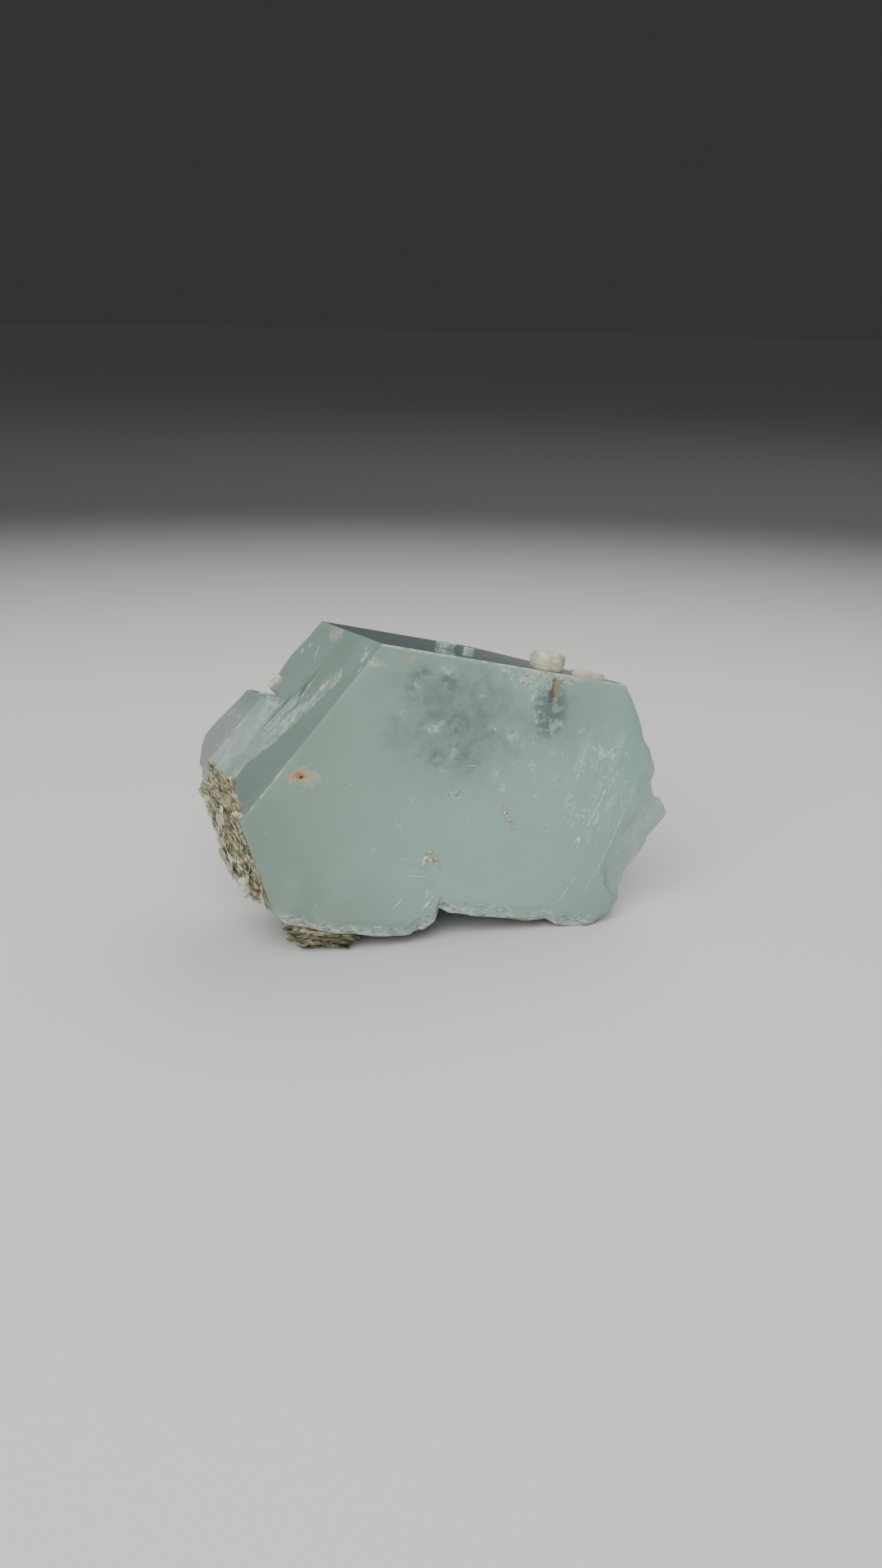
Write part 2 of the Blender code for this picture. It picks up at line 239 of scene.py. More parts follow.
def roughen(piece, name, kind, lump, height, level=0.5, within="", **settings):
    """Raises a pattern on the piece, with lumps that many metres across and high."""
    pattern = bpy.data.textures.new(name, kind)
    pattern.noise_scale = lump
    for key, value in settings.items():
        setattr(pattern, key, value)
    finish_with(
        piece, "DISPLACE", texture=pattern, texture_coords="LOCAL", strength=height,
        mid_level=level, vertex_group=within,
    )


def mask(piece, name, weight):
    """A vertex group and an attribute named for it, from a weight of each grown() point."""
    weights = [weight(grown(vert.co)) for vert in piece.data.vertices]
    shares = piece.data.attributes.new(name + " share", "FLOAT", "POINT")
    shares.data.foreach_set("value", weights)
    group = piece.vertex_groups.new(name=name)
    for index, share in enumerate(weights):
        group.add([index], share, "REPLACE")


def keep_in_box(piece):
    """Brings the few points that stand out of the CAD model's box back to it."""
    low, high = cad_box
    for vert in piece.data.vertices:
        vert.co = [min(max(c, a), b) for c, a, b in zip(vert.co, low, high)]


def off_the_faces(p):
    """1 where the surface is broken, and 0 on the faces that grew flat."""
    spot = Vector((p.x, p.z))
    out_left = (spot - corner_a).dot(toward(150))
    out_low = (spot - corner_f).dot(toward(210))
    rear = abs(p.y - depth) if p.z > 24 else 9
    faces = (p.y, p.z - top_level, rear, out_left, out_low, out_left - second_wall)
    return ramp(0.05, 0.5, min(abs(gap) for gap in faces))


def far_back(p):
    """1 where the surface is broken, rising from 0.35 just behind the basal face."""
    return off_the_faces(p) * (0.35 + 0.65 * ramp(9.0, 15.0, p.y))


def behind(p):
    """1 on the broken stone well behind the basal face, where its ledges are worn."""
    from_the_wall = (Vector((p.x, p.z)) - corner_a).dot(toward(150))
    return off_the_faces(p) * ramp(13.0, 17.0, p.y) * ramp(-2.5, -4.0, from_the_wall)


def on_the_etched_band(p):
    """1 on the etched band and the seam behind it, on the upper left face."""
    spot = Vector((p.x, p.z)) - corner_a
    along, out = spot.dot(toward(240)), spot.dot(toward(150))
    middle = 5.6 + 0.46 * (along - 6)
    width = 3.1 - 0.10 * abs(along - 13)
    across = ramp(width, width * 0.45, abs(p.y - middle))
    return across * ramp(4, 7, along) * ramp(22, 17, along) * ramp(-1.4, -0.9, out)


def patches(spots):
    """1 at the middle of the nearest patch of the basal face, and 0 at its edge and beyond."""
    def share(p):
        u, w, v = p
        if w > 2.5:
            return 0.0
        nearest = min(
            math.hypot((u - x) / wide, (v - y) / tall, w / 1.6) for x, y, wide, tall in spots
        )
        return max(0.0, 1 - nearest / 1.6)
    return share


# Patches of the basal face, each (right, up, half width, half height).
dark_spots = (
    (-21.6, 24.2, 2.6, 2.4), (-20.2, 20.2, 2.2, 2.6), (-24.6, 29.0, 3.0, 1.6),
    (-28.8, 28.4, 2.2, 2.6), (-10.6, 28.6, 1.7, 2.4), (-8.2, 28.6, 2.0, 1.7),
    (-24.3, 19.8, 1.6, 1.8), (-9.6, 24.6, 1.0, 1.2),
)
silver_spots = (
    (-25.3, 23.1, 1.2, 0.7), (-24.3, 24.1, 0.6, 0.5), (-21.0, 15.3, 1.5, 0.7),
    (-17.0, 24.3, 0.8, 0.5), (-14.2, 23.7, 1.4, 0.8), (-12.9, 22.9, 0.6, 0.8),
    (-11.5, 23.6, 0.7, 0.8), (-10.9, 20.5, 0.8, 1.0), (-9.9, 18.7, 0.6, 1.2),
    (-9.4, 16.6, 0.6, 0.8), (-8.2, 22.4, 1.2, 0.8), (-15.8, 18.9, 0.8, 1.4),
    (-14.4, 16.9, 0.5, 0.8), (-28.6, 28.2, 1.0, 0.9), (-35.4, 30.4, 0.9, 1.8),
    (-25.9, 13.9, 1.1, 0.5), (-27.3, 10.7, 0.9, 0.8), (-30.1, 7.3, 1.3, 0.4),
    (-21.8, 2.3, 1.3, 1.9), (-2.2, 11.6, 0.8, 0.35), (-3.9, 22.0, 0.8, 1.8),
    (-0.6, 23.2, 1.4, 1.2), (-24.6, 30.6, 1.6, 0.7), (-13.4, 30.8, 2.6, 1.6),
    (-8.0, 31.4, 2.0, 0.8), (-19.6, 28.2, 0.7, 0.5), (-6.2, 27.9, 0.9, 0.7),
    (-11.6, 26.4, 0.6, 1.2), (-10.6, 31.2, 2.8, 1.2), (-12.7, 28.9, 0.5, 0.9),
    (-22.0, 20.9, 0.6, 1.6), (-23.0, 18.2, 0.9, 0.4), (-5.0, 25.9, 0.7, 1.2),
    (-29.8, 24.4, 0.7, 0.4), (-18.4, 12.2, 0.7, 0.4), (-33.4, 21.6, 0.5, 0.4),
    (-6.9, 19.4, 0.6, 1.4), (-4.6, 16.4, 0.5, 1.6), (-7.0, 12.4, 0.9, 0.5),
)
cream_spots = (
    (-17.5, 31.4, 1.7, 0.7), (-12.6, 31.9, 2.6, 0.7), (-33.9, 29.8, 1.3, 0.5),
    (-14.3, 31.0, 1.1, 0.9), (-7.6, 31.9, 2.2, 0.5),
)
# The lower edge of the basal face, corner by corner from the right.
lower_edge = [Vector(corner) for corner in (
    (2.2, 0.3), (-2.6, 0.0), (-4.4, 0.7), (-6.3, 0.2), (-19.4, 0.5), (-19.8, -1.3), (-22.8, -3.3),
    (-29.6, -3.9), (-35.1, -3.9), (-39.7, -3.2),
)]


def on_the_lower_rim(p):
    """1 at the broken lower edge of the basal face, and 0 from 2.4 mm above it."""
    if p.z > 4:
        return 0.0
    spot = Vector((p.x, p.z))
    nearest = 9.0
    for start, end in zip(lower_edge, lower_edge[1:]):
        foot, along = geometry.intersect_point_line(spot, start, end)
        reach = foot if 0 <= along <= 1 else (start if along < 0 else end)
        nearest = min(nearest, (spot - Vector(reach[:2])).length)
    return ramp(2.4, 0.2, nearest) * ramp(6, 2, p.y)


crystal = copy_of("aquamarine_crystal", "aquamarine")
finish_with(crystal, "REMESH", mode="SHARP", octree_depth=8, scale=0.62)

# The groove of the seam runs out in the upper third of the wall, where the two crystals close up.
groove_closed, groove_open = 8.5, 12.5
wall_out = lying(toward(150))
for vert in crystal.data.vertices:
    p = grown(vert.co)
    across = Vector((p.x, p.z)) - corner_a
    hollow, below = -across.dot(toward(150)), across.dot(toward(240))
    if 0.02 < hollow < 1.6 and 6.5 < p.y < 17 and below > 2.2:
        vert.co += wall_out * hollow * ramp(groove_open, groove_closed, below) / 1000

mask(crystal, "worn", behind)
finish_with(crystal, "SMOOTH", factor=0.5, iterations=14, vertex_group="worn")
for name, weight in (
    ("broken", off_the_faces),
    ("chipped", far_back),
    ("etched", on_the_etched_band),
    ("dark", patches(dark_spots)),
    ("crushed", patches(silver_spots)),
    ("cream", patches(cream_spots)),
    ("rim", on_the_lower_rim),
):
    mask(crystal, name, weight)
roughen(crystal, "fracture", "CLOUDS", 0.0060, 0.0012, 0.60, "chipped", noise_depth=4)
roughen(crystal, "scallops", "VORONOI", 0.0034, 0.0011, 0.55, "chipped")
roughen(crystal, "etching", "CLOUDS", 0.0008, 0.0005, 0.75, "etched", noise_depth=2)
keep_in_box(crystal)
alone(crystal)
bpy.ops.object.shade_smooth_by_angle(angle=math.radians(28))


def calc(operation, a, b=0.5, c=0.5, clamp=False):
    """The result of one step of arithmetic."""
    made = put("ShaderNodeMath", {0: a, 1: b, 2: c}, operation=operation, use_clamp=clamp)
    return made.outputs[0]


def both(a, b):
    """The share where both are, from two shares or a share and a strength."""
    return calc("MULTIPLY", a, b)


def either(a, b):
    """The larger of two shares."""
    return calc("MAXIMUM", a, b)


def off(value, level):
    """How far a value is from a level, to either side."""
    return calc("ABSOLUTE", calc("SUBTRACT", value, level))


def wash(under, over, *shares):
    """The colour under, washed with the colour over where all the shares are."""
    return tint(reduce(both, shares), under, over)


def speckle(place, size, detail=3, warp=0.0, stretch=(1, 1, 1)):
    """Smooth noise from 0 to 1, with lumps about that many millimetres across."""
    scaled = put("ShaderNodeMapping", {"Vector": place, "Scale": stretch}).outputs[0]
    settings = {"Vector": scaled, "Scale": 1 / size, "Detail": detail, "Distortion": warp}
    return put("ShaderNodeTexNoise", settings).outputs["Fac"]


def near(place, centre, radii):
    """The distance from a centre, 1 at the radii, all as (right, back, up) in millimetres."""
    moved = put("ShaderNodeVectorMath", {0: place, 1: centre}, operation="SUBTRACT").outputs[0]
    scaled = put("ShaderNodeVectorMath", {0: moved, 1: radii}, operation="DIVIDE").outputs[0]
    return put("ShaderNodeVectorMath", {0: scaled}, operation="LENGTH").outputs["Value"]


# The place along the crystal, in millimetres, is one node group that every finish uses.
tree = place_group = bpy.data.node_groups.new("place on the crystal", "ShaderNodeTree")
place_group.interface.new_socket("Place", in_out="OUTPUT", socket_type="NodeSocketVector")
along_it = put(
    "ShaderNodeMapping",
    {
        "Vector": put("ShaderNodeTexCoord").outputs["Object"],
        "Location": stands_at,
        "Rotation": as_grown.to_euler("XYZ"),
        "Scale": (0.001, 0.001, 0.001),
    },
    vector_type="TEXTURE",
)
put("NodeGroupOutput", {"Place": along_it.outputs[0]})


def new_finish(name):
    """A new material: itself, its tree, its surface and its place on the crystal."""
    material = bpy.data.materials.new(name)
    material.use_nodes = True
    places = material.node_tree.nodes.new("ShaderNodeGroup")
    places.node_tree = place_group
    surface = material.node_tree.nodes["Principled BSDF"]
    return material, material.node_tree, surface, places.outputs["Place"]


beryl, tree, surface, place = new_finish("milky aquamarine")
u, w, v = put("ShaderNodeSeparateXYZ", {0: place}).outputs

# The place on the upper left wall: down along it from corner_a, back, and into the stone.
wall_turn = (0, math.radians(120), 0)
wall = put(
    "ShaderNodeMapping",
    {"Vector": place, "Location": (corner_a.x, 0, corner_a.y), "Rotation": wall_turn},
    vector_type="TEXTURE",
).outputs[0]
down, back, inward = put("ShaderNodeSeparateXYZ", {0: wall}).outputs


def painted(name):
    """The share that was laid over the mesh under that name."""
    return put("ShaderNodeAttribute", attribute_name=name + " share").outputs["Fac"]


def facing(way):
    """1 where the surface faces that way."""
    normal = put("ShaderNodeNewGeometry").outputs["Normal"]
    dot = put("ShaderNodeVectorMath", {0: normal, 1: way}, operation="DOT_PRODUCT").outputs["Value"]
    return rise(dot, 0.90, 0.97)


def ragged(share, breaks):
    """A share with its edge broken up by a noise."""
    torn = rise(calc("MULTIPLY_ADD", breaks, -3.2, calc("ADD", share, 1.6)), 0.35, 0.85)
    return both(torn, rise(share, 0.0, 0.15))


def threads(noise_value, broad, faint):
    """Thin wandering lines where a noise crosses its middle."""
    return rise(off(noise_value, 0.5), broad, faint)


top, upper_left = facing(lying(Vector((0, 1)))), facing(lying(toward(150)))
coarse = speckle(place, 9.0, 3, 0.6)
medium = speckle(place, 3.0, 4, 0.9)
small = speckle(place, 1.1, 4)
fine = speckle(place, 0.42, 4, 1.2)
smoke = calc("MULTIPLY_ADD", medium, 0.6, both(small, 0.4))
# Painted glints: bright crinkled lines and specks laid into the colour as highlights.
crinkled = speckle(place, 0.75, 3, 2.2, stretch=(1.25, 0.6, 0.8))
crinkle = both(threads(crinkled, 0.045, 0.008), rise(small, 0.44, 0.58))
painted_glint = either(crinkle, both(rise(fine, 0.60, 0.67), 0.85))
broken = painted("broken")

# The milk in the stone: greener to the left, bluer to the right and deeper toward the lower
# left, in soft clouds.
colour = tint(rise(u, -8.0, 6.0), (0.300, 0.448, 0.388), (0.252, 0.410, 0.368))
colour = wash(colour, (0.268, 0.378, 0.308), rise(u, -14.0, -40.0))
outer = rise(near(place, (-16.0, 0, 17.0), (30, 60, 24)), 0.55, 1.15)
colour = wash(colour, (0.192, 0.277, 0.215), outer, 0.75)
colour = wash(colour, (0.36, 0.47, 0.43), rise(coarse, 0.45, 0.70), 0.30)
colour = wash(colour, (0.24, 0.33, 0.31), rise(medium, 0.52, 0.68), 0.20)

# Clear patches with less milk, which look dark, in the upper middle; beside and under the knob
# the darkening is partly clearer stone and partly painted shade.
clear_zone = rise(near(place, (-22.0, 0, 24.4), (12, 30, 9.5)), 1.2, 0.2)
# Painted shade beside the knob, laid on as clearer stone.
shade_by_the_knob = rise(near(place, (-7.5, 0, 27.0), (6, 30, 6)), 1.2, 0.2)
colour = wash(colour, (0.175, 0.250, 0.240), clear_zone, 0.60)
colour = wash(colour, (0.175, 0.250, 0.240), shade_by_the_knob, 0.42)
pool = both(ragged(painted("dark"), smoke), rise(small, 0.30, 0.62))
# Painted shade under the knob, broken up by noise.
shade_under_knob = rise(near(place, (-10.0, 0, 27.6), (2.6, 3, 3.8)), 1.2, 0.5)
shade_under_knob = both(shade_under_knob, rise(small, 0.38, 0.52))
wisps = both(both(clear_zone, rise(smoke, 0.44, 0.62)), 0.6)
clear = either(wisps, either(pool, both(shade_under_knob, 0.9)))
colour = wash(colour, (0.092, 0.130, 0.130), clear, 0.72)
# More painted shade under the knob.
colour = wash(colour, (0.080, 0.112, 0.110), shade_under_knob, 0.30)

# Silvery clusters of crushed stone, thickest round the knob and down the right middle, with
# painted glints on them.
crushed = ragged(painted("crushed"), smoke)
colour = wash(colour, (0.46, 0.54, 0.52), crushed, 0.18)
colour = wash(colour, (0.13, 0.18, 0.18), crushed, rise(fine, 0.47, 0.37), 0.65)
colour = wash(colour, (0.76, 0.91, 0.87), crushed, painted_glint, 0.9)
plate = ragged(rise(near(place, (-9.0, 0, 26.0), (1.2, 2.2, 1.2)), 1.5, 0.2), small)
colour = wash(colour, (0.44, 0.52, 0.50), plate, 0.5)
# Cream crumbs, with painted glints on them.
crumbled = ragged(painted("cream"), small)
colour = wash(colour, (0.66, 0.65, 0.53), crumbled, calc("MULTIPLY_ADD", painted_glint, 0.45, 0.50))
colour = wash(colour, (0.15, 0.15, 0.11), crumbled, rise(fine, 0.48, 0.40), 0.8)

# Painted pinprick sparkles, and the pale upright veils of old cracks on the right.
dots = put("ShaderNodeTexVoronoi", {"Vector": place, "Scale": 0.62, "Randomness": 1.0}).outputs
chosen = put("ShaderNodeSeparateColor", {0: dots["Color"]}).outputs[0]
painted_sparkles = both(rise(dots["Distance"], 0.065, 0.035), calc("GREATER_THAN", chosen, 0.55))
painted_sparkles = both(painted_sparkles, calc("MULTIPLY_ADD", upper_left, -0.9, 1.0))
colour = wash(colour, (0.76, 0.84, 0.81), painted_sparkles, 0.8)
veil_zone = rise(near(place, (-1.0, 0, 18.6), (5.4, 30, 9.5)), 1.15, 0.45)
slant = (0, math.radians(9), 0)
slanted = put("ShaderNodeMapping", {"Vector": place, "Rotation": slant}, vector_type="TEXTURE")
upright = speckle(slanted.outputs[0], 2.3, 4, 1.3, stretch=(1.2, 0.5, 0.26))
veil = both(rise(upright, 0.54, 0.70), veil_zone)
colour = wash(colour, (0.52, 0.62, 0.59), veil, 0.60)
hair = both(both(threads(upright, 0.016, 0.003), rise(small, 0.44, 0.56)), veil_zone)
# The silver hairs are the veils' own colour; the glints on the veils are painted.
colour = wash(colour, (0.82, 0.90, 0.87), either(both(hair, 0.8), both(veil, painted_glint)), 0.95)

# The upper left wall: a calm, darker front band, a paler rear and a pale lobe low down.
front_band = both(upper_left, rise(calc("MULTIPLY_ADD", down, -0.42, back), 1.5, 0.0))
colour = wash(colour, (0.205, 0.280, 0.262), front_band, 0.42)
colour = wash(colour, (0.330, 0.405, 0.385), upper_left, rise(back, 12.0, 16.0), 0.5)
lobe = both(upper_left, both(rise(down, 14.0, 17.0), rise(back, 15.0, 18.0)))
colour = wash(colour, (0.43, 0.46, 0.445), lobe, 0.5)
# Painted glints on the pale lobe.
colour = wash(colour, (0.70, 0.74, 0.72), lobe, rise(medium, 0.50, 0.62), painted_glint)

# Its scratchy etched band, its fine dark cracks and the chipped corner at its rear.
scratchy = speckle(wall, 0.60, 5, 0.8, stretch=(0.22, 1.0, 1.0))
etched = ragged(painted("etched"), small)
pale = calc("MULTIPLY_ADD", rise(scratchy, 0.46, 0.56), 0.50, 0.22)
white = both(rise(fine, 0.54, 0.62), rise(scratchy, 0.48, 0.56))
colour = wash(colour, (0.49, 0.55, 0.48), etched, pale)
colour = wash(colour, (0.13, 0.17, 0.155), etched, rise(scratchy, 0.44, 0.36), 0.85)
colour = wash(colour, (0.80, 0.82, 0.74), etched, white)
cracks = speckle(wall, 0.9, 3, 0.5, stretch=(0.10, 0.9, 0.4))
crack_zone = both(upper_left, rise(near(wall, (13.0, 13.0, 0), (8.0, 2.6, 4.0)), 1.1, 0.6))
colour = wash(colour, (0.10, 0.14, 0.14), crack_zone, rise(cracks, 0.44, 0.38), 0.75)
colour = wash(colour, (0.70, 0.74, 0.68), crack_zone, rise(cracks, 0.58, 0.64), 0.6)
chip = ragged(rise(near(wall, (1.0, 16.2, 0), (1.5, 2.8, 1.5)), 1.3, 0.2), small)
# Painted glints on the chipped corner.
colour = wash(colour, (0.66, 0.64, 0.57), chip, calc("MULTIPLY_ADD", painted_glint, 0.5, 0.45))
colour = wash(colour, (0.26, 0.19, 0.12), chip, rise(fine, 0.47, 0.40), 0.7)

# The top is darker, partly clearer stone and partly a painted dark reflection, with fine growth
# lines and a rosy grey line at its back.
colour = wash(colour, (0.086, 0.135, 0.133), top, 0.88)
growth = speckle(place, 1.0, 5, 0.3, stretch=(0.10, 1.0, 1.0))
colour = wash(colour, (0.32, 0.42, 0.40), top, rise(growth, 0.48, 0.70), 0.40)
# More painted dark reflection on the top, in soft patches.
colour = wash(colour, (0.085, 0.130, 0.130), top, rise(smoke, 0.50, 0.62), 0.35)
# Painted sparkles on the top.
colour = wash(colour, (0.60, 0.66, 0.66), top, painted_sparkles, 0.8)
back_line = both(rise(v, 31.2, 32.0), rise(back, 0.0, 0.1))
colour = wash(colour, (0.36, 0.37, 0.35), back_line, rise(off(w, 23.6), 0.9, 0.4), 0.5)

# Painted edge highlights: a thin pale line where the basal face meets the top and the upper left
# wall.
painted_edge_highlight = both(rise(either(off(w, 0), off(v, top_level)), 0.32, 0.12), rise(small, 0.40, 0.55))
low_part = both(rise(down, 16.0, 20.0), rise(down, 26.0, 25.0))
painted_low_edge_highlight = both(rise(either(off(w, 0), off(inward, 0)), 0.26, 0.08), low_part)
painted_low_edge_highlight = both(painted_low_edge_highlight, rise(small, 0.44, 0.56))
colour = wash(colour, (0.70, 0.75, 0.70), either(painted_edge_highlight, painted_low_edge_highlight), 0.6)

# The broken parts are paler, with a rough rim below. Along the thin right edge a paler rosy grey
# is painted light, as if glowing through the thin stone, with painted shine on its broken parts.
colour = wash(colour, (0.40, 0.47, 0.44), broken, calc("MULTIPLY_ADD", smoke, 1.0, -0.15))
# Painted glints on the broken parts.
colour = wash(colour, (0.66, 0.73, 0.70), broken, painted_glint, 0.45)
dusty = both(broken, both(rise(coarse, 0.55, 0.66), rise(fine, 0.42, 0.60)))
colour = wash(colour, (0.42, 0.40, 0.31), dusty, 0.35)
# Painted light: the thin right side is made paler, as if lit through.
edge = both(rise(u, 3.0, 8.0), rise(v, 27.0, 20.0))
colour = wash(colour, (0.405, 0.475, 0.450), edge, 0.60)
# Painted shine on the broken parts of the right side.
painted_shine = either(rise(fine, 0.60, 0.68), both(veil, 0.5))
colour = wash(colour, (0.80, 0.84, 0.82), broken, edge, painted_shine, 0.7)
rim = ragged(painted("rim"), small)
rim_marks = speckle(place, 0.50, 4, 0.8, stretch=(0.5, 1, 1.4))
colour = wash(colour, (0.44, 0.50, 0.46), rim, 0.25)
colour = wash(colour, (0.68, 0.73, 0.67), rim, rise(rim_marks, 0.54, 0.62), 0.8)
colour = wash(colour, (0.12, 0.155, 0.14), rim, rise(rim_marks, 0.45, 0.37), 0.8)

# Small stains, each (middle, radii, strength, shade): the rust spot with its pale halo, the
# brown streak under the albite knob, and a tan stain at the top edge.
torn_edge = calc("MULTIPLY_ADD", small, 1.6, calc("MULTIPLY_ADD", fine, 2.4, -2.0))
for middle, radii, strength, shade in (
    ((-40.6, 0, 15.1), (2.3, 1.4, 1.3), 0.60, (0.46, 0.52, 0.40)),
    ((-41.2, 0, 15.2), (1.5, 1.2, 0.9), 0.95, (0.50, 0.36, 0.17)),
    ((-41.2, 0, 15.1), (0.8, 1.2, 0.5), 0.90, (0.38, 0.19, 0.06)),
    ((-40.9, 0, 15.0), (0.35, 1.2, 0.2), 1.00, (0.06, 0.025, 0.01)),
    ((-10.0, 0, 30.6), (0.95, 1.5, 1.5), 0.85, (0.25, 0.235, 0.13)),
    ((-10.3, 0, 30.0), (0.45, 1.5, 1.5), 0.85, (0.085, 0.075, 0.045)),
    ((-29.8, 0, 31.3), (0.5, 1.0, 0.6), 0.60, (0.50, 0.42, 0.25)),
):
    reach = calc("ADD", near(place, middle, radii), torn_edge)
    colour = wash(colour, shade, rise(reach, 1.0, 0.7), strength)

# The flat faces are satin, the wall glossier and the top like a mirror; the broken parts are
# matt and pitted. The stone lets light through, and its milk and its iron soften and tint it.
rough = either(either(broken, etched), both(crushed, 0.6))
gloss = calc("MULTIPLY_ADD", rough, 0.15, calc("MULTIPLY_ADD", small, 0.08, 0.31))
calm_wall = both(upper_left, calc("SUBTRACT", 1.0, rough, clamp=True))
gloss = calc("MULTIPLY_ADD", calm_wall, -0.15, gloss)
smooth_top = both(top, calc("SUBTRACT", 1.0, broken))
gloss = put("ShaderNodeMix", {0: smooth_top, 2: gloss, 3: 0.05}).outputs[0]
pitting = both(either(rough, rim), calc("MULTIPLY_ADD", small, 2.0, fine))
pitting = calc("MULTIPLY_ADD", both(etched, scratchy), 1.5, pitting)
pitting = calc("MULTIPLY_ADD", both(medium, calc("SUBTRACT", 1.0, smooth_top)), 0.25, pitting)
bump = put("ShaderNodeBump", {"Strength": 0.4, "Distance": 0.00012, "Height": pitting})
wire(surface, {
    "Base Color": colour,
    "Roughness": gloss,
    "Normal": bump.outputs[0],
    "Transmission Weight": 0.3,
    "Subsurface Weight": 0.4,
    "Subsurface Radius": (0.7, 1.0, 0.9),
    "Subsurface Scale": 0.003,
    "IOR": 1.577,
})
absorb = put("ShaderNodeVolumeAbsorption", {"Color": (0.50, 0.79, 0.76, 1), "Density": 38})
wire(tree.nodes["Material Output"], {"Volume": absorb.outputs[0]})
crystal.data.materials.append(beryl)
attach(crystal, "root")
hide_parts("aquamarine_crystal")

# The marks in the basal face and the wall
# Healed cracks that show as silver hairs, a tan needle and a tan wedge of another mineral: thin
# slivers, laid nearly flush in the flat faces of the stone.

# Each mark is (start, end, width) in millimetres, as (right, 0, up) on the basal face and
# (down, 0, forward) on the wall.
hairs = (
    ((0.3, 0, 18.9), (-1.6, 0, 12.9), 0.09), ((-0.4, 0, 19.3), (-2.2, 0, 13.4), 0.06),
    ((3.6, 0, 16.6), (1.5, 0, 8.0), 0.08), ((1.6, 0, 9.0), (0.2, 0, 5.2), 0.06),
    ((-1.7, 0, 6.9), (-3.3, 0, 3.2), 0.08), ((0.8, 0, 24.6), (-1.6, 0, 22.3), 0.09),
    ((-27.3, 0, 6.3), (-23.4, 0, 6.6), 0.09), ((-24.7, 0, 4.4), (-22.3, 0, 4.5), 0.14),
    ((-25.1, 0, 1.4), (-26.5, 0, -0.7), 0.10), ((-20.6, 0, 2.6), (-22.8, 0, -0.8), 0.10),
    ((-11.2, 0, 14.4), (-9.8, 0, 14.2), 0.10), ((-19.6, 0, 19.3), (-17.9, 0, 19.3), 0.09),
    ((-35.4, 0, 31.2), (-36.4, 0, 28.6), 0.13),
)
wall_hairs = (
    ((3.2, 0, -18.6), (5.3, 0, -16.6), 0.08), ((4.6, 0, -22.9), (5.2, 0, -22.2), 0.12),
    ((3.5, 0, -21.8), (4.0, 0, -21.2), 0.10), ((1.0, 0, -4.2), (1.7, 0, -2.9), 0.10),
    ((1.7, 0, -2.9), (3.4, 0, -2.1), 0.08), ((14.2, 0, -13.9), (18.6, 0, -15.3), 0.08),
    ((8.4, 0, -11.9), (11.0, 0, -10.6), 0.10), ((13.0, 0, -12.6), (17.4, 0, -13.3), 0.09),
    ((9.6, 0, -7.4), (13.6, 0, -8.8), 0.08), ((12.4, 0, -9.6), (16.8, 0, -11.2), 0.10),
)
tan_marks = (
    ((-14.7, 0, 15.9), (-11.3, 0, 11.5), 0.26), ((-14.2, 0, 15.2), (-12.0, 0, 12.4), 0.42),
    ((-13.5, 0, 14.2), (-12.3, 0, 12.7), 0.50), ((-22.3, 0, 8.0), (-23.2, 0, 6.4), 0.70),
    ((-22.9, 0, 7.2), (-23.3, 0, 5.6), 0.85), ((-22.2, 0, 7.8), (-20.4, 0, 5.5), 0.40),
    ((-22.7, 0, 6.9), (-21.5, 0, 6.5), 0.45),
)
deepest, stands_out = 0.16, 0.05
on_the_crystal = Matrix.Translation(stands_at) @ as_grown.to_4x4() @ Matrix.Scale(0.001, 4)
on_the_wall = on_the_crystal @ Matrix((
    (toward(240).x, toward(330).x, 0, corner_a.x),
    (0, 0, -1, 0),
    (toward(240).y, toward(330).y, 0, corner_a.y),
    (0, 0, 0, 1),
))

silver, tree, surface, place = new_finish("silver of a healed crack")
colour = tint(rise(speckle(place, 0.5), 0.40, 0.62), (0.36, 0.45, 0.42), (0.66, 0.75, 0.71))
wire(surface, {"Base Color": colour, "Roughness": 0.35})

tan, tree, surface, place = new_finish("tan grains")
grit = rise(speckle(place, 0.35, 4, 0.5), 0.42, 0.60)
colour = tint(grit, (0.20, 0.195, 0.10), (0.44, 0.45, 0.32))
colour = wash(colour, (0.12, 0.09, 0.05), rise(speckle(place, 0.8), 0.60, 0.68))
wire(surface, {"Base Color": colour, "Roughness": 0.55})

alone()
bpy.ops.mesh.primitive_cylinder_add(vertices=6, radius=0.5, depth=1.0)
sliver = bpy.context.object
sliver.name = "sliver"
bpy.ops.object.mode_set(mode="EDIT")
bpy.ops.mesh.select_all(action="SELECT")
bpy.ops.mesh.subdivide(number_cuts=3)
bpy.ops.object.mode_set(mode="OBJECT")
for vert in sliver.data.vertices:
    vert.co.xy *= max(0.12, 1 - (2 * abs(vert.co.z)) ** 2.5)


def another(piece):
    """One more of a small shape, with a mesh of its own."""
    made = piece.copy()
    made.data = piece.data.copy()
    bpy.context.collection.objects.link(made)
    return made


